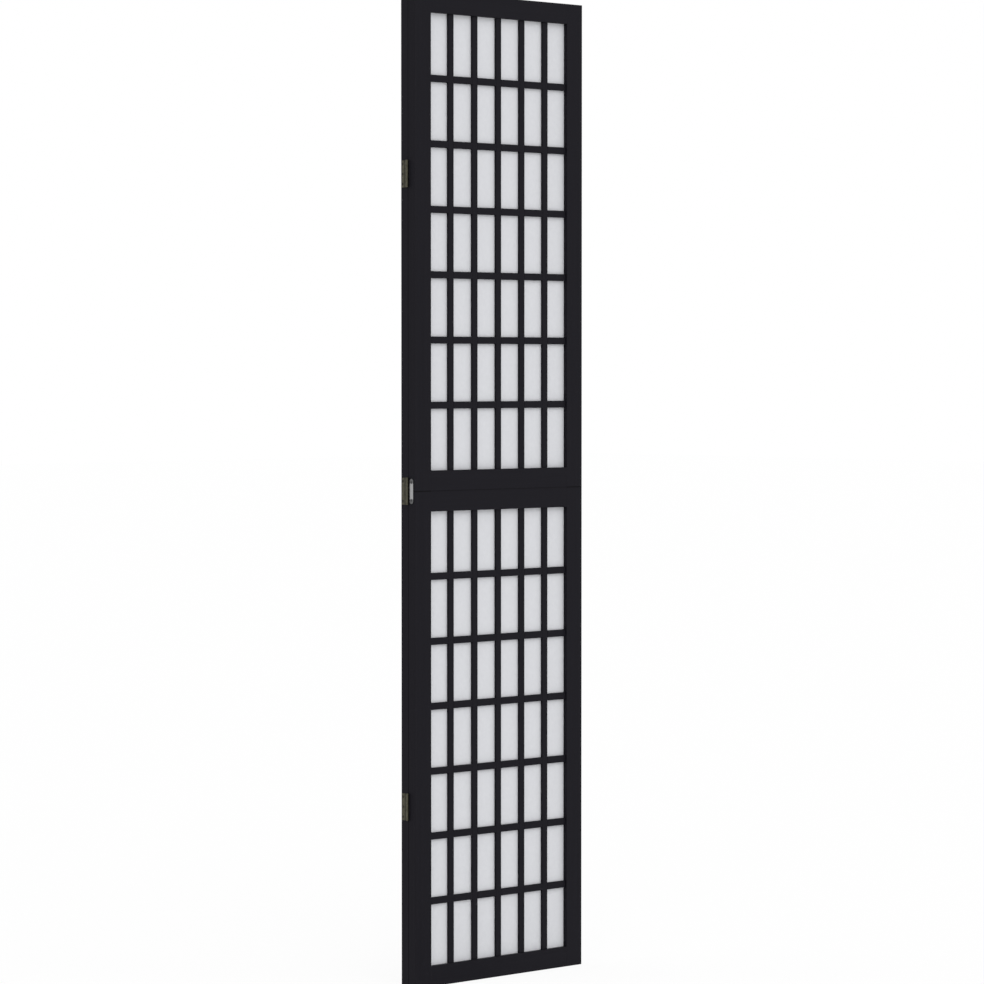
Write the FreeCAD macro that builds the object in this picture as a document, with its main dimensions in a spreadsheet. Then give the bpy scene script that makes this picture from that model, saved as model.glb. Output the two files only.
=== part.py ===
import FreeCAD, Part
import Sketcher
import os
import re

os.makedirs("parts", exist_ok=True)
doc = FreeCAD.newDocument("FoldingScreen")

# Driving dimensions, in millimetres. X runs along a panel's width, +Y to the back, +Z up.
DIMENSIONS = [
    ("panel_width", 400),        # one folding panel, over its stiles
    ("panel_height", 1700),      # two half-frames stacked
    ("panel_thick", 17),         # stiles and rails
    ("fold_gap", 0.8),           # between the two panels when folded
    ("stile_width", 37),         # upright members
    ("rail_width", 35),          # cross members
    ("tenon_length", 22),
    ("tenon_thick", 6),
    ("tenon_shoulder", 6),       # set-in of the tenon from the rail's edges
    ("groove_depth", 4),         # groove round the opening, as wide as the paper is thick
    ("column_count", 6),         # panes across
    ("row_count", 7),            # panes up one half-frame
    ("upright_bar_width", 12),
    ("cross_bar_width", 12),
    ("bar_recess", 3.5),         # bar face behind the frame's face
    ("paper_thick", 0.5),
    ("dowel_radius", 4),
    ("dowel_sides", 8),          # fluted dowels, drawn with this many flats
    ("dowel_length", 40),
    ("hinge_height", 46),
    ("hinge_inset", 310),        # panel end to the centre of the outer hinges
    ("leaf_thick", 1.2),
    ("front_leaf_width", 14),    # let into the front panel's inner face
    ("rear_leaf_width", 15.4),   # from the pin's axis, on the rear panel's edge
    ("barrel_radius", 2.3),
    ("pin_radius", 1.25),
    ("pin_clearance", 0.05),     # radial, pin in the rear leaf's knuckles
    ("pin_head_height", 0.8),
    ("pin_offset", 2.6),         # pin's axis outside the panels' left edges
    ("knuckle_count", 3),
    ("knuckle_clearance", 0.15),  # between neighbouring knuckles
    ("sweep_clearance", 0.3),    # round a turning knuckle
    ("leaf_screw_spacing", 17),
    ("screw_radius", 1.25),
    ("screw_head_radius", 2.6),
    ("screw_length", 13),
    ("screw_sides", 8),          # screws are drawn with this many flats
    ("front_screw_edge", 4.2),   # front leaf's screws, in from the leaf's free edge
    ("rear_screw_edge", 3.2),    # rear leaf's screws, in from the leaf's free edge
    ("seam_plate_width", 8.4),
    ("seam_plate_height", 43),
    ("seam_plate_thick", 1.2),
    ("seam_screw_spacing", 15.5),
    ("seam_screw_length", 9),    # stops short of the front leaf's screws
]
VALUES = dict(DIMENSIONS)

# Lengths that follow from the driving dimensions.
DERIVED = {
    "half_height": "(panel_height / 2)",
    "bar_depth": "((panel_thick - paper_thick) / 2 - bar_recess)",
    "opening_width": "(panel_width - 2 * stile_width)",
    "opening_height": "(panel_height / 2 - 2 * rail_width)",
    "pane_width": "((panel_width - 2 * stile_width - (column_count - 1) * upright_bar_width) / column_count)",
    "upright_pitch": "((panel_width - 2 * stile_width + upright_bar_width) / column_count)",
    "cross_pitch": "((panel_height / 2 - 2 * rail_width) / row_count)",
    "knuckle_pitch": "(hinge_height / knuckle_count)",
    "rear_panel_y": "(panel_thick + fold_gap)",
    "pin_y": "(panel_thick + fold_gap / 2)",
    # The frame's origin: the centre of the folded screen's footprint.
    "origin_x": "((panel_width - pin_offset - barrel_radius) / 2)",
    "origin_y": "(panel_thick + fold_gap / 2)",
}

sheet = doc.addObject("Spreadsheet::Sheet", "dims")
for row, (alias, value) in enumerate(DIMENSIONS, start=1):
    sheet.set(f"A{row}", alias)
    sheet.set(f"B{row}", str(value))
    sheet.setAlias(f"B{row}", alias)
doc.recompute()

WORD = re.compile(r"[a-z][a-z_]+")


def expand(formula):
    """Write derived names out, then point every dimension at its spreadsheet cell."""
    text = str(formula)
    while any(word in DERIVED for word in WORD.findall(text)):
        text = WORD.sub(lambda found: DERIVED.get(found.group(), found.group()), text)
    return WORD.sub(lambda found: "dims." + found.group(), text)


def bind(item, prop, formula):
    item.setExpression(prop, expand(formula))


def place(item, x, y, z):
    """Put an object at panel coordinates, measured from the screen's own origin."""
    bind(item, "Placement.Base.x", f"{x} - origin_x")
    bind(item, "Placement.Base.y", f"{y} - origin_y")
    bind(item, "Placement.Base.z", z)


def box(name, corner, size):
    item = doc.addObject("Part::Box", name)
    for prop, formula in zip(("Length", "Width", "Height"), size):
        bind(item, prop, formula)
    place(item, *corner)
    return item


ALONG = {
    "x": FreeCAD.Rotation(FreeCAD.Vector(0, 1, 0), 90),
    "-y": FreeCAD.Rotation(FreeCAD.Vector(1, 0, 0), 90),
    "z": FreeCAD.Rotation(),
}


def cylinder(name, corner, axis, radius, length):
    item = doc.addObject("Part::Cylinder", name)
    item.Placement.Rotation = ALONG[axis]
    bind(item, "Radius", radius)
    bind(item, "Height", length)
    place(item, *corner)
    return item


def prism(name, corner, sides, radius, length):
    item = doc.addObject("Part::Prism", name)
    bind(item, "Polygon", sides)
    bind(item, "Circumradius", radius)
    bind(item, "Height", length)
    place(item, *corner)
    return item


INWARD = {"x": (1, 0), "-y": (0, -1)}


def polygon(name, corner, axis, depth, radius):
    """A regular outline square to the axis, at a depth below the surface point corner."""
    item = doc.addObject("Part::RegularPolygon", name)
    item.Placement.Rotation = ALONG[axis]
    bind(item, "Polygon", "screw_sides")
    bind(item, "Circumradius", radius)
    across, back = INWARD[axis]
    place(item, f"{corner[0]} + {across} * ({depth})", f"{corner[1]} + {back} * ({depth})", corner[2])
    return item


def fuse(name, pieces):
    item = doc.addObject("Part::MultiFuse", name)
    item.Shapes = pieces
    item.Refine = True
    return item


def group(name, pieces):
    item = doc.addObject("Part::Compound", name)
    item.Links = pieces
    return item


def cut(name, base, tools):
    item = doc.addObject("Part::Cut", name)
    item.Base = base
    item.Tool = tools[0] if len(tools) == 1 else group(name + "_tools", tools)
    item.Refine = True
    return item


SUB_PARTS = []


def sub_part(label, item):
    item.Label = label
    SUB_PARTS.append(item)
    return item


# ---------------------------------------------------------------- screws
def screw(name, corner, axis, length="screw_length"):
    """A countersunk wood screw whose head is flush with the surface at corner."""
    item = doc.addObject("Part::Loft", name)
    item.Sections = [
        polygon(name + "_head", corner, axis, "0", "screw_head_radius"),
        polygon(name + "_neck", corner, axis, "screw_head_radius - screw_radius", "screw_radius"),
        polygon(name + "_tip", corner, axis, length, "screw_radius"),
    ]
    item.Solid = True
    item.Ruled = True
    return item


HINGES = {
    "top": "(panel_height - hinge_inset)",
    "middle": "(panel_height / 2)",
    "bottom": "hinge_inset",
}


def leaf_screw_levels(which):
    """Heights of one leaf's screws: the middle hinge straddles the seam and has no centre screw."""
    steps = (-1, 1) if which == "middle" else (-1, 0, 1)
    return [f"({HINGES[which]} + {step} * leaf_screw_spacing)" for step in steps]


front_screws = {}
rear_screws = {}
for which in HINGES:
    for number, level in enumerate(leaf_screw_levels(which), start=1):
        front_screws[which, number] = screw(
            f"front_screw_{which}_{number}",
            ("front_leaf_width - front_screw_edge", "panel_thick", level), "-y")
        rear_screws[which, number] = screw(
            f"rear_screw_{which}_{number}",
            ("-leaf_thick", "pin_y + rear_leaf_width - rear_screw_edge", level), "x")

seam_screws = [
    screw(f"seam_screw_{number}",
          ("-seam_plate_thick", "panel_thick / 2", f"half_height + {side} * seam_screw_spacing"),
          "x", "seam_screw_length")
    for number, side in enumerate((-1, 1), start=1)
]


def screws_of(screws, which):
    return [item for (hinge, _), item in screws.items() if hinge == which]


# ---------------------------------------------------------------- hinges
def hinge_leaf(which, side):
    """One leaf with its own knuckles; the front leaf has the end knuckles, the rear one the rest."""
    name = f"{which}_hinge_{side}_leaf"
    foot = f"({HINGES[which]} - hinge_height / 2)"
    if side == "front":
        strip = box(name + "_strip", ("-pin_offset", "panel_thick - leaf_thick", foot),
                    ("pin_offset + front_leaf_width", "leaf_thick", "hinge_height"))
    else:
        strip = box(name + "_strip", ("-leaf_thick", "pin_y", foot),
                    ("leaf_thick", "rear_leaf_width", "hinge_height"))
    barrel = cylinder(name + "_barrel", ("-pin_offset", "pin_y", foot), "z",
                      "barrel_radius", "hinge_height")
    tools = list(screws_of(front_screws if side == "front" else rear_screws, which))
    bore = "pin_radius" if side == "front" else "pin_radius + pin_clearance"
    tools.append(cylinder(name + "_bore", ("-pin_offset", "pin_y", foot), "z", bore, "hinge_height"))
    for number in range(VALUES["knuckle_count"]):
        mine = (number % 2 == 0) == (side == "front")
        if mine:
            continue
        below = "0" if number == 0 else "knuckle_clearance"
        above = "0" if number == VALUES["knuckle_count"] - 1 else "knuckle_clearance"
        reach = "(barrel_radius + sweep_clearance)"
        tools.append(box(
            f"{name}_gap_{number}",
            (f"-pin_offset - {reach}", f"pin_y - {reach}", f"{foot} + {number} * knuckle_pitch - {below}"),
            (f"2 * {reach}", f"2 * {reach}", f"knuckle_pitch + {below} + {above}")))
    return sub_part(name, cut(name, fuse(name + "_blank", [strip, barrel]), tools))


def hinge_pin(which):
    name = f"{which}_hinge_pin"
    foot = f"({HINGES[which]} - hinge_height / 2)"
    shaft = cylinder(name + "_shaft", ("-pin_offset", "pin_y", foot), "z", "pin_radius", "hinge_height")
    head = cylinder(name + "_head", ("-pin_offset", "pin_y", f"{foot} + hinge_height"), "z",
                    "barrel_radius", "pin_head_height")
    return sub_part(name, fuse(name, [shaft, head]))


for which in HINGES:
    hinge_leaf(which, "front")
    hinge_leaf(which, "rear")
    hinge_pin(which)
sub_part("front_leaf_screws", group("front_leaf_screws", list(front_screws.values())))
sub_part("rear_leaf_screws", group("rear_leaf_screws", list(rear_screws.values())))


# ---------------------------------------------------------------- seam plate
def seam_plate():
    """A round-ended strap over the joint between the front panel's two half-frames."""
    straight = "(seam_plate_height - seam_plate_width)"
    bar = box("seam_plate_bar",
              ("-seam_plate_thick", "(panel_thick - seam_plate_width) / 2", f"half_height - {straight} / 2"),
              ("seam_plate_thick", "seam_plate_width", straight))
    ends = [
        cylinder(f"seam_plate_end_{number}",
                 ("-seam_plate_thick", "panel_thick / 2", f"half_height + {side} * {straight} / 2"),
                 "x", "seam_plate_width / 2", "seam_plate_thick")
        for number, side in enumerate((-1, 1), start=1)
    ]
    blank = fuse("seam_plate_blank", [bar] + ends)
    return sub_part("seam_plate", cut("seam_plate_cut", blank, seam_screws))


seam_plate()
sub_part("seam_plate_screws", group("seam_plate_screws", seam_screws))


# ---------------------------------------------------------------- frames
PANELS = {"front": "0", "rear": "rear_panel_y"}
HALVES = {"lower": "0", "upper": "half_height"}


def dowel(panel, number, x):
    """A glued dowel that joins the lower half-frame's top rail to the rail above it."""
    return prism(f"{panel}_dowel_{number}",
                 (x, f"{PANELS[panel]} + panel_thick / 2", "half_height - dowel_length / 2"),
                 "dowel_sides", "dowel_radius", "dowel_length")


DOWELS = {
    panel: [
        dowel(panel, 1, "stile_width + opening_width / 4"),
        dowel(panel, 2, "panel_width - stile_width - opening_width / 4"),
    ]
    for panel in PANELS
}
MEETING_RAILS = {"lower": "top", "upper": "bottom"}
for panel in PANELS:
    sub_part(f"{panel}_dowels", group(f"{panel}_dowels", DOWELS[panel]))


def tenon_box(name, panel, x, z):
    """One tenon, and by the same box the mortise that takes it."""
    return box(name, (x, f"{PANELS[panel]} + (panel_thick - tenon_thick) / 2", f"{z} + tenon_shoulder"),
               ("tenon_length", "tenon_thick", "rail_width - 2 * tenon_shoulder"))


def groove_box(name, panel, corner_x, corner_z, length_x, length_z):
    return box(name, (corner_x, f"{PANELS[panel]} + (panel_thick - paper_thick) / 2", corner_z),
               (length_x, "paper_thick", length_z))


def frame(panel, half):
    """Two stiles and two rails with mortises, tenons and the groove that holds the paper."""
    head = f"{panel}_{half}"
    foot = HALVES[half]
    face = PANELS[panel]
    rails = {"bottom": foot, "top": f"{foot} + half_height - rail_width"}
    tenons = {"left": [], "right": []}
    groove_foot = f"{foot} + rail_width - groove_depth"

    for where, level in rails.items():
        name = f"{head}_{where}_rail"
        left = tenon_box(f"{name}_tenon_1", panel, "stile_width - tenon_length", level)
        right = tenon_box(f"{name}_tenon_2", panel, "panel_width - stile_width", level)
        tenons["left"].append(left)
        tenons["right"].append(right)
        beam = box(name + "_beam", ("stile_width", face, level),
                   ("opening_width", "panel_thick", "rail_width"))
        inner = f"{level} + rail_width - groove_depth" if where == "bottom" else level
        groove = groove_box(name + "_groove", panel, "stile_width", inner, "opening_width", "groove_depth")
        holes = DOWELS[panel] if MEETING_RAILS[half] == where else []
        beam = cut(name + "_grooved", beam, [groove] + holes)
        sub_part(name, fuse(name, [beam, left, right]))

    for side, edge, inner in (("left", "0", "stile_width - groove_depth"),
                              ("right", "panel_width - stile_width", "panel_width - stile_width")):
        name = f"{head}_{side}_stile"
        post = box(name + "_post", (edge, face, foot), ("stile_width", "panel_thick", "half_height"))
        groove = groove_box(name + "_groove", panel, inner, groove_foot,
                            "groove_depth", "opening_height + 2 * groove_depth")
        tools = tenons[side] + [groove]
        if side == "left":
            tools += edge_fittings(name, panel)
        sub_part(name, cut(name, post, tools))


def edge_fittings(name, panel):
    """What is let or screwed into a left stile: leaf recesses, hinge screws, seam plate screws."""
    if panel == "rear":
        return list(rear_screws.values())
    recesses = [
        box(f"{name}_recess_{which}", ("0", "panel_thick - leaf_thick", f"{level} - hinge_height / 2"),
            ("front_leaf_width", "leaf_thick", "hinge_height"))
        for which, level in HINGES.items()
    ]
    return recesses + list(front_screws.values()) + seam_screws


for panel in PANELS:
    for half in HALVES:
        frame(panel, half)


# ---------------------------------------------------------------- lattice
def rectangle_sketch(body, role, name, offset, low, high):
    """A rectangle on one of the body's origin planes, its two corners bound to the dimensions."""
    plane = next(item for item in body.Origin.OriginFeatures if item.Role == role)
    sketch = body.newObject("Sketcher::SketchObject", name)
    sketch.AttachmentSupport = [(plane, "")]
    sketch.MapMode = "FlatFace"
    bind(sketch, "AttachmentOffset.Base.z", offset)
    corners = [FreeCAD.Vector(*point, 0) for point in ((0, 0), (10, 0), (10, 10), (0, 10))]
    for number in range(4):
        sketch.addGeometry(Part.LineSegment(corners[number], corners[(number + 1) % 4]), False)
    for number in range(4):
        constraint("Coincident", sketch, number, 2, (number + 1) % 4, 1)
    for number in (0, 2):
        constraint("Horizontal", sketch, number)
    for number in (1, 3):
        constraint("Vertical", sketch, number)
    for kind, line, end, formula in (("DistanceX", 0, 1, low[0]), ("DistanceY", 0, 1, low[1]),
                                     ("DistanceX", 1, 2, high[0]), ("DistanceY", 1, 2, high[1])):
        index = constraint(kind, sketch, -1, 1, line, end, 5.0)
        bind(sketch, f"Constraints[{index}]", formula)
    return sketch


def constraint(kind, sketch, *details):
    return sketch.addConstraint(Sketcher.Constraint(kind, *details))


def pad(body, sketch, length):
    item = body.newObject("PartDesign::Pad", sketch.Name + "_pad")
    item.Profile = sketch
    bind(item, "Length", length)
    return item


def pocket(body, sketch, length):
    """A pocket that runs along the sketch's own normal."""
    item = body.newObject("PartDesign::Pocket", sketch.Name + "_pocket")
    item.Profile = sketch
    item.Reversed = True
    bind(item, "Length", length)
    return item


def repeat(body, originals, role, pitch, count, name):
    axis = next(item for item in body.Origin.OriginFeatures if item.Role == role)
    item = body.newObject("PartDesign::LinearPattern", name)
    item.Originals = originals
    item.Direction = (axis, [""])
    item.Mode = "Spacing"
    bind(item, "Offset", pitch)
    bind(item, "Occurrences", count)
    body.Tip = item
    return item


def lattice_body(name, panel, half, side):
    """A body in its half-frame's own coordinates; the back lattice is the front one turned about."""
    body = doc.addObject("PartDesign::Body", name)
    body.AllowCompound = True
    face = PANELS[panel]
    foot = HALVES[half]
    if side == "face":
        place(body, "0", face, foot)
    else:
        body.Placement.Rotation = FreeCAD.Rotation(FreeCAD.Vector(0, 0, 1), 180)
        place(body, "panel_width", f"{face} + panel_thick", foot)
    return body


def upright_bars(panel, half, side):
    """Upright bars, half-lapped on the paper side where the cross bars pass behind them."""
    name = f"{panel}_{half}_{side}_upright_bars"
    body = lattice_body(name, panel, half, side)
    inner = "bar_recess + bar_depth"
    start = "stile_width + pane_width"
    bar = rectangle_sketch(body, "YZ_Plane", name + "_bar", start,
                           ("bar_recess", "rail_width"), (inner, "half_height - rail_width"))
    first = pad(body, bar, "upright_bar_width")
    repeat(body, [first], "X_Axis", "upright_pitch", "column_count - 1", name + "_across")
    level = "rail_width + cross_pitch"
    notch = rectangle_sketch(body, "YZ_Plane", name + "_notch", "stile_width",
                             ("bar_recess + bar_depth / 2", f"{level} - cross_bar_width / 2"),
                             (inner, f"{level} + cross_bar_width / 2"))
    lap = pocket(body, notch, "opening_width")
    repeat(body, [lap], "Z_Axis", "cross_pitch", "row_count - 1", name + "_laps")
    return sub_part(name, body)


def cross_bars(panel, half, side):
    """Cross bars, half-lapped on the room side where the upright bars pass in front of them."""
    name = f"{panel}_{half}_{side}_cross_bars"
    body = lattice_body(name, panel, half, side)
    inner = "bar_recess + bar_depth"
    level = "rail_width + cross_pitch - cross_bar_width / 2"
    bar = rectangle_sketch(body, "XY_Plane", name + "_bar", level,
                           ("stile_width", "bar_recess"), ("panel_width - stile_width", inner))
    first = pad(body, bar, "cross_bar_width")
    repeat(body, [first], "Z_Axis", "cross_pitch", "row_count - 1", name + "_up")
    notch = rectangle_sketch(body, "XY_Plane", name + "_notch", "rail_width",
                             ("stile_width + pane_width", "bar_recess"),
                             ("stile_width + pane_width + upright_bar_width", "bar_recess + bar_depth / 2"))
    lap = pocket(body, notch, "opening_height")
    repeat(body, [lap], "X_Axis", "upright_pitch", "column_count - 1", name + "_laps")
    return sub_part(name, body)


def paper(panel, half):
    """The sheet between the two lattices, its edges in the frame's groove."""
    name = f"{panel}_{half}_paper"
    sheet_box = box(name, ("stile_width - groove_depth", f"{PANELS[panel]} + (panel_thick - paper_thick) / 2",
                           f"{HALVES[half]} + rail_width - groove_depth"),
                    ("opening_width + 2 * groove_depth", "paper_thick", "opening_height + 2 * groove_depth"))
    return sub_part(name, sheet_box)


for panel in PANELS:
    for half in HALVES:
        for side in ("face", "back"):
            upright_bars(panel, half, side)
            cross_bars(panel, half, side)
        paper(panel, half)

# ---------------------------------------------------------------- checks and export
doc.recompute()
for item in doc.Objects:
    if "Invalid" in item.State or "Error" in item.State:
        raise RuntimeError(f"{item.Name} did not rebuild: {item.State}")
for item in SUB_PARTS:
    if item.Shape.isNull() or not item.Shape.isValid():
        raise RuntimeError(f"{item.Label} has no valid shape")


def check_volume(label, expected):
    """A lap or pattern that went missing changes the volume, so the bars are compared with their sums."""
    shape = next(item.Shape for item in SUB_PARTS if item.Label == label)
    if abs(shape.Volume - expected) > 1e-3 * expected:
        raise RuntimeError(f"{label} has volume {shape.Volume}, expected {expected}")


def bar_volumes():
    size = VALUES
    depth = (size["panel_thick"] - size["paper_thick"]) / 2 - size["bar_recess"]
    width = size["panel_width"] - 2 * size["stile_width"]
    height = size["panel_height"] / 2 - 2 * size["rail_width"]
    uprights = size["column_count"] - 1
    crosses = size["row_count"] - 1
    lap = size["upright_bar_width"] * size["cross_bar_width"] * depth / 2
    upright = size["upright_bar_width"] * height * depth - crosses * lap
    cross = size["cross_bar_width"] * width * depth - uprights * lap
    return uprights * upright, crosses * cross


upright_volume, cross_volume = bar_volumes()
for panel in PANELS:
    for half in HALVES:
        for side in ("face", "back"):
            check_volume(f"{panel}_{half}_{side}_upright_bars", upright_volume)
            check_volume(f"{panel}_{half}_{side}_cross_bars", cross_volume)

for item in SUB_PARTS:
    item.Shape.exportStep(f"parts/{item.Label}.step")
print(len(SUB_PARTS), "sub-parts written")
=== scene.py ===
"""A black shoji folding screen, two panels folded flat, dressed for a studio picture."""
import math

import bpy
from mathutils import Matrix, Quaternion, Vector


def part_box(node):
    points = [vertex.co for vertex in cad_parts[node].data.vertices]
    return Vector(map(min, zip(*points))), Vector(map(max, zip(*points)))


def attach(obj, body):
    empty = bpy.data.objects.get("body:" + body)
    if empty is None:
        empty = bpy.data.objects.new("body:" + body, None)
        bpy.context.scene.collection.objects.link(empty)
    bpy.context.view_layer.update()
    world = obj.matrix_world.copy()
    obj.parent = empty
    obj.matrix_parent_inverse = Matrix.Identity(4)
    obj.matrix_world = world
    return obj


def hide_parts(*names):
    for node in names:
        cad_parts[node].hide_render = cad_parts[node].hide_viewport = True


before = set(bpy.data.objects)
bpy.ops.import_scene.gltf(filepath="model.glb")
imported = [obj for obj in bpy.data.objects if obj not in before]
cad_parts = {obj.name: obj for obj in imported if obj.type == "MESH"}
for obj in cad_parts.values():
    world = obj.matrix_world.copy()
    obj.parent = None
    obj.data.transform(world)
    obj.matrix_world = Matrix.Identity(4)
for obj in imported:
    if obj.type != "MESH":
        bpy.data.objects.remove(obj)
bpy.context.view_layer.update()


# ------------------------------------------------------------------ stiles and rails
# Solid softwood, planed square, mortised and tenoned, then sprayed satin black. Every arris is
# eased with a pass of sandpaper, which leaves the thin line where the two half-frames meet; the
# shade in that joint is also painted into the black as a darker band.
class Flow:
    """A number that runs through shader nodes; arithmetic on it adds Math nodes."""

    def __init__(self, shader, socket):
        self.shader = shader
        self.socket = socket

    def _math(self, operation, first, second):
        made = self.shader.add("ShaderNodeMath", {"operation": operation}, {0: first, 1: second})
        return Flow(self.shader, made.outputs[0])

    def __add__(self, other):
        return self._math("ADD", self, other)

    __radd__ = __add__

    def __mul__(self, other):
        return self._math("MULTIPLY", self, other)

    __rmul__ = __mul__

    def __sub__(self, other):
        return self._math("SUBTRACT", self, other)

    def __rsub__(self, other):
        return self._math("SUBTRACT", other, self)


class Shader:
    """The nodes of one material or of the room, each added by the same method."""

    def __init__(self, tree):
        self.tree = tree

    def add(self, kind, settings, inputs):
        made = self.tree.nodes.new(kind)
        for key, value in settings.items():
            setattr(made, key, value)
        self.feed(made, inputs)
        return made

    def feed(self, made, inputs):
        """Give a node's sockets plain values, flows or other nodes' sockets."""
        for key, value in inputs.items():
            if isinstance(value, Flow):
                self.tree.links.new(value.socket, made.inputs[key])
            elif isinstance(value, bpy.types.NodeSocket):
                self.tree.links.new(value, made.inputs[key])
            else:
                made.inputs[key].default_value = value


class Finish(Shader):
    """One material with a Principled surface."""

    def __init__(self, name):
        self.material = bpy.data.materials.new(name)
        self.material.use_nodes = True
        super().__init__(self.material.node_tree)
        self.surface = self.tree.nodes["Principled BSDF"]

    def place(self, scale=(1, 1, 1), turn=(0, 0, 0)):
        """Object coordinates, in metres, stretched and turned."""
        where = self.add("ShaderNodeTexCoord", {}, {})
        mapped = self.add("ShaderNodeMapping", {}, {"Vector": where.outputs["Object"],
                                                    "Rotation": turn, "Scale": scale})
        return mapped.outputs[0]

    def noise(self, where, scale, detail, rough):
        made = self.add("ShaderNodeTexNoise", {}, {"Vector": where, "Scale": scale,
                                                   "Detail": detail, "Roughness": rough})
        return Flow(self, made.outputs["Fac"])

    def part(self, vector, axis):
        made = self.add("ShaderNodeSeparateXYZ", {}, {0: vector})
        return Flow(self, made.outputs[axis])

    def spread(self, flow, low, high):
        """Stretch a flow so that low becomes 0 and high becomes 1."""
        made = self.add("ShaderNodeMapRange", {"clamp": True},
                        {"Value": flow, "From Min": low, "From Max": high})
        return Flow(self, made.outputs["Result"])

    def blend(self, amount, first, second):
        """Mix two colours, each written out or taken from another node."""
        first, second = ((*colour, 1) if isinstance(colour, tuple) else colour
                         for colour in (first, second))
        made = self.add("ShaderNodeMix", {"data_type": "RGBA"}, {0: amount, 6: first, 7: second})
        return made.outputs[2]

    def relief(self, height, distance, strength):
        made = self.add("ShaderNodeBump", {}, {"Height": height, "Distance": distance,
                                               "Strength": strength})
        return made.outputs["Normal"]

    def set(self, **inputs):
        """Set the surface's inputs, with _ for each space in a name, and return the material."""
        self.feed(self.surface, {key.replace("_", " "): value for key, value in inputs.items()})
        return self.material


SEAM_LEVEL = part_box("front_lower_top_rail")[1].z    # where the lower half-frame meets the upper
SEAM_STARTS = 0.0009                                # the seam's shade begins this far from it
SEAM_FULL = 0.0006


def black_paint(name, along, seam_shade_colour):
    """Satin black over closed grain that runs along x or z, with painted shade darkening the seam.
    """
    finish = Finish(name)
    across, length = 260, 5
    fine_across, fine_length = 1400, 30
    grain_scale = (length, across, across)
    pore_scale = (fine_length, fine_across, fine_across)
    if along == "z":
        grain_scale = grain_scale[::-1]
        pore_scale = pore_scale[::-1]
    grain = finish.spread(finish.noise(finish.place(grain_scale), 1.0, 5, 0.6), 0.3, 0.7)
    pores = finish.spread(finish.noise(finish.place(pore_scale), 1.0, 2, 0.5), 0.58, 0.72)
    where = finish.place()
    peel = finish.noise(where, 900, 1, 0.4)
    cloud = finish.noise(where, 9, 3, 0.55)
    level = finish.part(where, "Z")
    # painted shade: the colour darkens in a narrow band either side of the seam, as shade in the
    # joint
    seam = (finish.spread(level, SEAM_LEVEL - SEAM_STARTS, SEAM_LEVEL - SEAM_FULL)
            * finish.spread(level, SEAM_LEVEL + SEAM_STARTS, SEAM_LEVEL + SEAM_FULL))
    shade = finish.spread(0.65 * grain + 0.35 * cloud, 0.2, 0.8)
    paint = finish.blend(shade, (0.0092, 0.0086, 0.0118), (0.0112, 0.0105, 0.0140))
    height = 0.5 * grain + 0.16 * peel - 0.5 * pores
    return finish.set(
        Base_Color=finish.blend(seam, paint, seam_shade_colour),
        Roughness=0.44 + 0.10 * grain + 0.06 * cloud,
        Specular_IOR_Level=0.049,
        Normal=finish.relief(height, 0.00011, 0.6),
    )


WELD = 1e-6                       # points this near each other are one point
FLAT_WITHIN = math.radians(1)     # faces this close to one plane become one face
SHARP_OVER = math.radians(40)     # edges that turn more than this are eased
SMOOTH_UNDER = math.radians(35)   # faces that turn less than this shade as one surface


def eased_copy(node, arris, segments=2):
    """The CAD node's own shape as one clean shell, with every sharp edge rounded by arris metres."""
    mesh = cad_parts[node].data.copy()
    mesh.materials.clear()
    piece = bpy.data.objects.new("dressed_" + node, mesh)
    bpy.context.scene.collection.objects.link(piece)
    bpy.ops.object.select_all(action="DESELECT")
    piece.select_set(True)
    bpy.context.view_layer.objects.active = piece
    bpy.ops.object.mode_set(mode="EDIT")
    bpy.ops.mesh.select_all(action="SELECT")
    bpy.ops.mesh.remove_doubles(threshold=WELD)
    bpy.ops.mesh.dissolve_limited(angle_limit=FLAT_WITHIN)
    bpy.ops.object.mode_set(mode="OBJECT")
    bevel = piece.modifiers.new("arris", "BEVEL")
    bevel.width = arris
    bevel.segments = segments
    bevel.limit_method = "ANGLE"
    bevel.angle_limit = SHARP_OVER
    bevel.use_clamp_overlap = True
    bpy.ops.object.modifier_apply(modifier=bevel.name)
    bpy.ops.object.shade_smooth_by_angle(angle=SMOOTH_UNDER)
    flat = piece.modifiers.new("flat faces", "WEIGHTED_NORMAL")
    flat.keep_sharp = True
    bpy.ops.object.modifier_apply(modifier=flat.name)
    return piece


def fit(piece, material, body, node):
    """Give a finished piece its material and its body, and hide the CAD node that it stands for."""
    piece.data.materials.clear()
    piece.data.materials.append(material)
    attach(piece, body)
    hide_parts(node)


PANELS = ("front", "rear")
HALVES = ("lower", "upper")
FRAME_ARRIS = 0.0007
# the last colours are the painted seam shade, darker on the uprights than on the rails
paint_upright = black_paint("black_paint_upright", "z", (0.0012, 0.0011, 0.0015))
paint_cross = black_paint("black_paint_cross", "x", (0.0062, 0.0058, 0.0078))
for panel in PANELS:
    for half in HALVES:
        for member, paint in (("left_stile", paint_upright), ("right_stile", paint_upright),
                              ("top_rail", paint_cross), ("bottom_rail", paint_cross)):
            node = f"{panel}_{half}_{member}"
            fit(eased_copy(node, FRAME_ARRIS), paint, panel + "_panel", node)

# ------------------------------------------------------------------ lattice bars
# Slim bars of the same black wood on both sides of the paper. They are half-lapped where they
# cross, so their faces are flush, and glued between the stiles and rails.
BAR_ARRIS = 0.00035
for panel in PANELS:
    for half in HALVES:
        for side in ("face", "back"):
            for run, paint in (("upright", paint_upright), ("cross", paint_cross)):
                node = f"{panel}_{half}_{side}_{run}_bars"
                bars = eased_copy(node, BAR_ARRIS, segments=1)
                fit(bars, paint, panel + "_panel", node)


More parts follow.
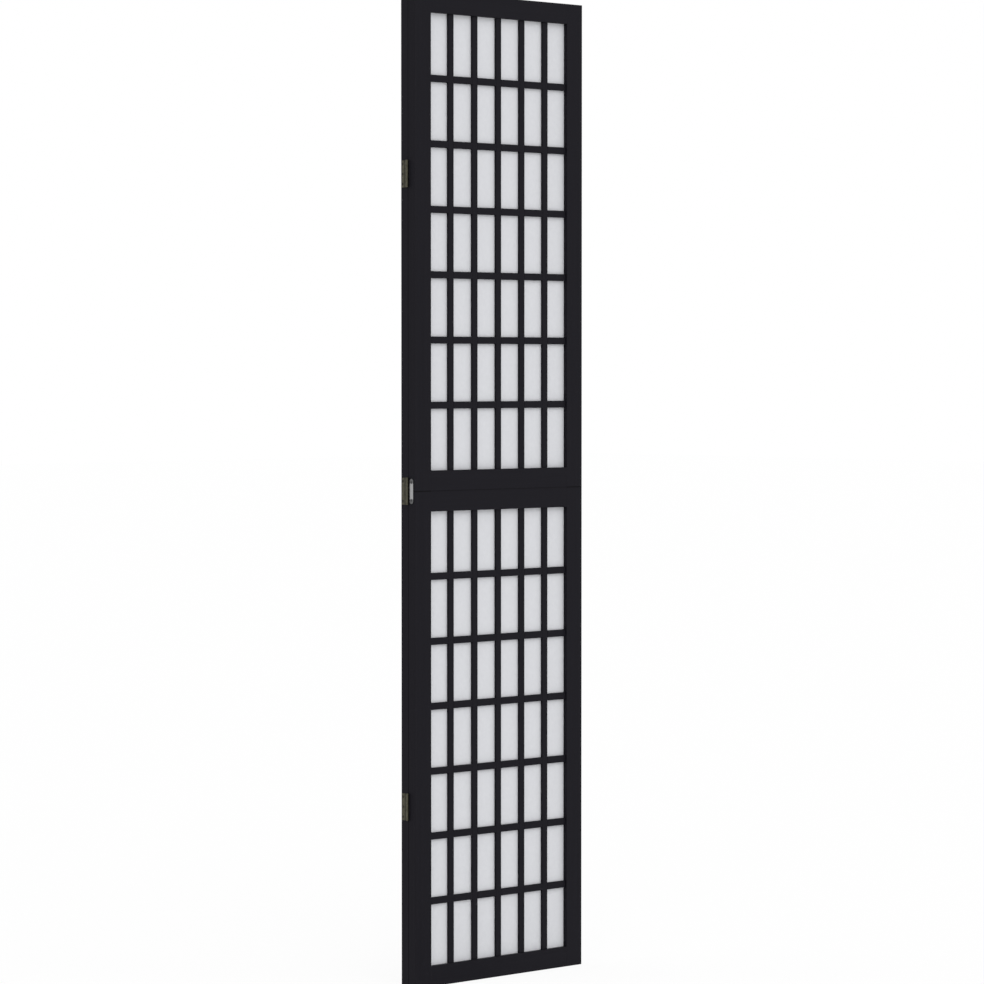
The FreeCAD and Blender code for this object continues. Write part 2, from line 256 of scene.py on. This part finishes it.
# ------------------------------------------------------------------ paper
# One sheet of white fibre-reinforced screen paper for each half-frame, pulled flat and glued
# between the two lattices. Long pale fibres lie in it at all angles.
def screen_paper():
    finish = Finish("screen_paper")
    fibres = None
    for turn, scale in ((0.35, (2600, 1, 90)), (-0.75, (2100, 1, 80)), (1.35, (2900, 1, 110))):
        strand = finish.noise(finish.place(scale, (0, turn, 0)), 1.0, 2, 0.5)
        strand = finish.spread(strand, 0.58, 0.74)
        fibres = strand if fibres is None else fibres + strand
    pulp = finish.noise(finish.place(), 130, 4, 0.6)
    shade = finish.spread(0.45 * fibres + pulp, 0.25, 1.05)
    return finish.set(
        Base_Color=finish.blend(shade, (0.636, 0.643, 0.670), (0.692, 0.699, 0.725)),
        Roughness=0.86,
        Specular_IOR_Level=0.2,
        Normal=finish.relief(0.5 * fibres + 0.5 * pulp, 0.00006, 0.5),
    )


SHEET_CUTS = 12


def stretched_sheet(node):
    """A flat sheet that fills the CAD sheet's box, and the size of that box."""
    low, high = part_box(node)
    size = high - low
    bpy.ops.object.select_all(action="DESELECT")
    bpy.ops.mesh.primitive_plane_add(size=1, location=(low + high) / 2,
                                     rotation=(math.pi / 2, 0, 0))
    sheet = bpy.context.object
    sheet.name = "stretched_" + node
    sheet.scale = (size.x, size.z, 1)
    bpy.ops.object.transform_apply(location=True, rotation=True, scale=True)
    bpy.ops.object.mode_set(mode="EDIT")
    bpy.ops.mesh.select_all(action="SELECT")
    bpy.ops.mesh.subdivide(number_cuts=SHEET_CUTS)
    bpy.ops.object.mode_set(mode="OBJECT")
    thick = sheet.modifiers.new("thickness", "SOLIDIFY")
    thick.thickness = size.y
    thick.offset = 0
    bpy.ops.object.modifier_apply(modifier=thick.name)
    return sheet, size


paper_finish = screen_paper()
for panel in PANELS:
    for half in HALVES:
        node = f"{panel}_{half}_paper"
        sheet, size = stretched_sheet(node)
        fit(sheet, paper_finish, panel + "_panel", node)


# ------------------------------------------------------------------ dowels
# Plain beech pegs, two for each panel, glued across the seam between the half-frames. They keep
# their own solid and lie hidden in the rails.
def beech():
    finish = Finish("beech")
    grain = finish.noise(finish.place((300, 300, 12)), 1.0, 4, 0.6)
    return finish.set(
        Base_Color=finish.blend(grain, (0.42, 0.27, 0.15), (0.60, 0.42, 0.25)),
        Roughness=0.62 + 0.1 * grain,
        Normal=finish.relief(grain, 0.0001, 0.5),
    )


beech_finish = beech()
for panel in PANELS:
    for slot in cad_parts[panel + "_dowels"].material_slots:
        slot.material = beech_finish

# ------------------------------------------------------------------ hinges
# Stamped butt hinges with a dull brass plating: the rear leaf is screwed flat on the rear
# panel's edge, the front leaf is let in behind the front panel, and a headed pin joins them.
# The crease between each leaf and its barrel is darkened with painted shade in the brass colour.
CREASE_SHADE_STARTS = (0.0046, 0.0062)    # where behind the pin the painted shade beside the barrel begins
CREASE_SHADE_ENDS = (0.0090, 0.0072)
STAMPED_ARRIS = 0.00018
PIN_ARRIS = 0.00035


def dull_brass():
    finish = Finish("dull_brass")
    where = finish.place()
    tarnish = finish.spread(finish.noise(where, 240, 5, 0.65), 0.3, 0.75)
    depth = finish.part(where, "Y")
    # painted shade: the leaf darkens in a band beside the barrel, where shade falls in the crease
    crease_shade = finish.spread(depth, *CREASE_SHADE_STARTS) * finish.spread(depth, *CREASE_SHADE_ENDS)
    brushed = finish.noise(finish.place((60, 60, 2400)), 1.0, 2, 0.5)
    scuffs = finish.spread(finish.noise(where, 1500, 2, 0.5), 0.55, 0.8)
    return finish.set(
        # the tarnish is the brass's own tone; the darkening beside the barrel is painted shade
        Base_Color=finish.blend(finish.spread(0.75 * tarnish + 0.9 * crease_shade, 0.0, 1.3),
                                (0.100, 0.095, 0.069), (0.028, 0.027, 0.020)),
        Metallic=1.0,
        Roughness=0.36 + 0.16 * tarnish + 0.08 * scuffs,
        Normal=finish.relief(0.6 * brushed + 0.4 * scuffs, 0.00003, 0.5),
    )


brass_finish = dull_brass()
for level in ("top", "middle", "bottom"):
    for panel in PANELS:
        node = f"{level}_hinge_{panel}_leaf"
        fit(eased_copy(node, STAMPED_ARRIS), brass_finish, panel + "_panel", node)
    node = level + "_hinge_pin"
    fit(eased_copy(node, PIN_ARRIS, segments=3), brass_finish, "front_panel", node)

# ------------------------------------------------------------------ seam plate
# A zinc-plated steel strap with round ends, screwed over the seam on the front panel's edge.
# Its colour is lighter in the middle and darker at the two ends round the screws.
DULL_STARTS = 0.0120               # from the seam, up and down
DULL_FULL = 0.0150
PLATE_ARRIS = 0.00035


def zinc_plate():
    finish = Finish("zinc_plate")
    brushed = finish.noise(finish.place((900, 900, 22)), 1.0, 3, 0.6)
    where = finish.place()
    bloom = finish.noise(where, 160, 4, 0.6)
    level = finish.part(where, "Z")
    # the colour is darker towards both ends of the strap, round the screws
    dull = (finish.spread(level, SEAM_LEVEL - DULL_STARTS, SEAM_LEVEL - DULL_FULL)
            + finish.spread(level, SEAM_LEVEL + DULL_STARTS, SEAM_LEVEL + DULL_FULL))
    bright = finish.blend(bloom, (0.34, 0.34, 0.345), (0.415, 0.415, 0.42))
    return finish.set(
        Base_Color=finish.blend(dull, bright, (0.137, 0.137, 0.140)),
        Metallic=1.0,
        Roughness=0.28 + 0.12 * brushed + 0.06 * bloom,
        Normal=finish.relief(brushed, 0.00003, 0.4),
    )


seam_plate = eased_copy("seam_plate", PLATE_ARRIS, segments=3)
fit(seam_plate, zinc_plate(), "front_panel", "seam_plate")


# ------------------------------------------------------------------ screws
# Small countersunk wood screws with a cross recess, flush in the leaves and the seam plate.
# One is turned and punched, then copied to every hole with its slots at its own angle.
def screw_metal(name, dark, light):
    finish = Finish(name)
    bloom = finish.noise(finish.place(), 700, 3, 0.6)
    return finish.set(
        Base_Color=finish.blend(bloom, dark, light),
        Metallic=1.0,
        Roughness=0.34 + 0.14 * bloom,
        Normal=finish.relief(bloom, 0.00003, 0.4),
    )


HEAD_RADIUS = 0.0026
SHANK_RADIUS = 0.00125
HEAD_RIM = 0.0002
SHANK_LENGTH = 0.0060
POINT_LENGTH = 0.0015
POINT_SHARE = 0.15                 # of the shank's radius, at the very tip
SLOT_LENGTH = 2.9 * SHANK_RADIUS
SLOT_WIDTH = 0.0006
SLOT_DEPTH = 0.0009
FIRST_TURN = 0.7                   # radians, so that no two crosses stand alike
NEXT_TURN = 1.9


def turned_screw():
    """A screw that points down -Z from a head face at the origin."""
    bpy.ops.object.select_all(action="DESELECT")
    bpy.ops.mesh.primitive_circle_add(vertices=32, radius=HEAD_RADIUS, fill_type="NGON",
                                      location=(0, 0, 0))
    screw = bpy.context.object
    bpy.ops.object.mode_set(mode="EDIT")
    bpy.ops.mesh.select_all(action="SELECT")
    for drop, taper in ((HEAD_RIM, 1.0),
                        (HEAD_RADIUS - SHANK_RADIUS - HEAD_RIM, SHANK_RADIUS / HEAD_RADIUS),
                        (SHANK_LENGTH, 1.0),
                        (POINT_LENGTH, POINT_SHARE)):
        bpy.ops.mesh.extrude_region_move(TRANSFORM_OT_translate={"value": (0, 0, -drop)})
        bpy.ops.transform.resize(value=(taper, taper, 1))
    bpy.ops.mesh.select_all(action="SELECT")
    bpy.ops.mesh.normals_make_consistent(inside=False)
    bpy.ops.object.mode_set(mode="OBJECT")
    for turn in (0, math.pi / 2):
        bpy.ops.object.select_all(action="DESELECT")
        bpy.ops.mesh.primitive_cube_add(size=1, location=(0, 0, 0), rotation=(0, 0, turn))
        punch = bpy.context.object
        punch.scale = (SLOT_LENGTH, SLOT_WIDTH, 2 * SLOT_DEPTH)
        carve = screw.modifiers.new("recess", "BOOLEAN")
        carve.operation = "DIFFERENCE"
        carve.solver = "EXACT"
        carve.object = punch
        bpy.context.view_layer.objects.active = screw
        bpy.ops.object.modifier_apply(modifier=carve.name)
        bpy.data.objects.remove(punch, do_unlink=True)
    return screw


def head_centres(node, axis, sign):
    """Where each CAD screw's head face is centred: its solid's outermost points along one axis."""
    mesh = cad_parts[node].data
    outer = max(sign * point.co[axis] for point in mesh.vertices)
    heads = []
    for point in mesh.vertices:
        if abs(sign * point.co[axis] - outer) > WELD:
            continue
        near = next((head for head in heads if (head[0] - point.co).length < 3 * HEAD_RADIUS), None)
        if near is None:
            heads.append([point.co.copy()])
        elif all((point.co - other).length > WELD for other in near):
            near.append(point.co.copy())
    return [sum(head, Vector()) / len(head) for head in sorted(heads, key=lambda head: head[0].z)]


def drive_screws(name, places, outward):
    """Copies of the screw with their heads at the given places, facing outward."""
    aim = outward.to_track_quat("Z", "Y")
    copies = []
    for number, place in enumerate(places):
        copy = bpy.data.objects.new(f"{name}_{number}", pattern_screw.data.copy())
        bpy.context.scene.collection.objects.link(copy)
        copy.location = place
        copy.rotation_mode = "QUATERNION"
        copy.rotation_quaternion = aim @ Quaternion((0, 0, 1), FIRST_TURN + NEXT_TURN * number)
        copies.append(copy)
    bpy.ops.object.select_all(action="DESELECT")
    for copy in copies:
        copy.select_set(True)
    bpy.context.view_layer.objects.active = copies[0]
    bpy.ops.object.join()
    joined = bpy.context.object
    joined.name = name
    bpy.ops.object.transform_apply(location=True, rotation=True, scale=True)
    bpy.ops.object.shade_smooth_by_angle(angle=SMOOTH_UNDER)
    return joined


bronzed = screw_metal("bronzed_screw", (0.038, 0.036, 0.030), (0.063, 0.060, 0.049))
zinced = screw_metal("zinced_screw", (0.088, 0.088, 0.092), (0.140, 0.140, 0.145))
pattern_screw = turned_screw()
for node, body, axis, sign, metal in (("rear_leaf_screws", "rear_panel", 0, -1, bronzed),
                                      ("front_leaf_screws", "front_panel", 1, 1, bronzed),
                                      ("seam_plate_screws", "front_panel", 0, -1, zinced)):
    outward = Vector((0, 0, 0))
    outward[axis] = sign
    screws = drive_screws("dressed_" + node, head_centres(node, axis, sign), outward)
    fit(screws, metal, body, node)
bpy.data.objects.remove(pattern_screw, do_unlink=True)


# ------------------------------------------------------------------ floor and light
# A plain pale floor that runs into a white studio. Two wide soft suns and a room that is paler
# overhead light the screen, and the camera and the metal see plain white instead of the room.
def seen_or_mirrored(shader):
    """1 for rays from the camera, a gloss or glass, and 0 for light that falls on a surface."""
    ray = shader.add("ShaderNodeLightPath", {}, {})
    camera, glossy, through = (Flow(shader, ray.outputs[f"Is {kind} Ray"])
                               for kind in ("Camera", "Glossy", "Transmission"))
    return camera + glossy + through


WHITE_SHARE = 0.9                  # the rest of the floor's look is its own, with the shadow
bpy.ops.object.select_all(action="DESELECT")
bpy.ops.mesh.primitive_plane_add(size=60, location=(0, 0, 0))
floor = bpy.context.object
floor.name = "floor"
pale_floor = Finish("pale_floor")
pale_floor.set(Base_Color=(0.93, 0.93, 0.93, 1), Roughness=0.9, Specular_IOR_Level=0.1)
white = pale_floor.add("ShaderNodeEmission", {}, {"Color": (1, 1, 1, 1), "Strength": 1.0})
mixed = pale_floor.add("ShaderNodeMixShader", {}, {0: seen_or_mirrored(pale_floor) * WHITE_SHARE,
                                                   1: pale_floor.surface.outputs[0],
                                                   2: white.outputs[0]})
pale_floor.feed(pale_floor.tree.nodes["Material Output"], {"Surface": mixed.outputs[0]})
floor.data.materials.append(pale_floor.material)

studio = bpy.data.worlds.new("studio")
bpy.context.scene.world = studio
studio.use_nodes = True
room = Shader(studio.node_tree)
direction = room.add("ShaderNodeTexCoord", {}, {})
height = room.add("ShaderNodeSeparateXYZ", {}, {0: direction.outputs["Generated"]})
lift = room.add("ShaderNodeMapRange", {}, {"Value": height.outputs["Z"],
                                           "From Min": -0.2, "From Max": 1.0,
                                           "To Min": 0.52, "To Max": 0.95})
strength = room.add("ShaderNodeMix", {}, {0: seen_or_mirrored(room), 2: lift.outputs["Result"],
                                          3: 1.0})
room.feed(room.tree.nodes["Background"], {"Color": (1, 1, 1, 1), "Strength": strength.outputs[0]})

for name, toward, width, power in (("key", Vector((0.42, 0.62, -0.66)), 50, 0.75),
                                   ("fill", Vector((-0.62, 0.70, -0.35)), 70, 0.35)):
    lamp = bpy.data.lights.new(name, "SUN")
    lamp.angle = math.radians(width)
    lamp.energy = power
    holder = bpy.data.objects.new(name, lamp)
    holder.rotation_euler = toward.to_track_quat("-Z", "Y").to_euler()
    bpy.context.scene.collection.objects.link(holder)

# ------------------------------------------------------------------ camera
# The photograph's long lens from 6.7 m away, a little over waist height and some 43 degrees
# round to the left.
VIEW_FROM = Vector((-4.6272, -4.8602, 1.0580))
TURN = math.radians(43.590)
TILT = math.radians(1.822)
FOCAL_PIXELS = 3859.7
FRAME_PIXELS = 984
lens = bpy.data.cameras.new("photo_view")
lens.sensor_width = 36
lens.lens = FOCAL_PIXELS / FRAME_PIXELS * lens.sensor_width
lens.clip_end = 100
camera = bpy.data.objects.new("photo_view", lens)
camera.location = VIEW_FROM
camera.rotation_euler = (math.pi / 2 - TILT, 0, -TURN)
bpy.context.scene.collection.objects.link(camera)
bpy.context.scene.camera = camera
bpy.context.scene.view_settings.view_transform = "Standard"
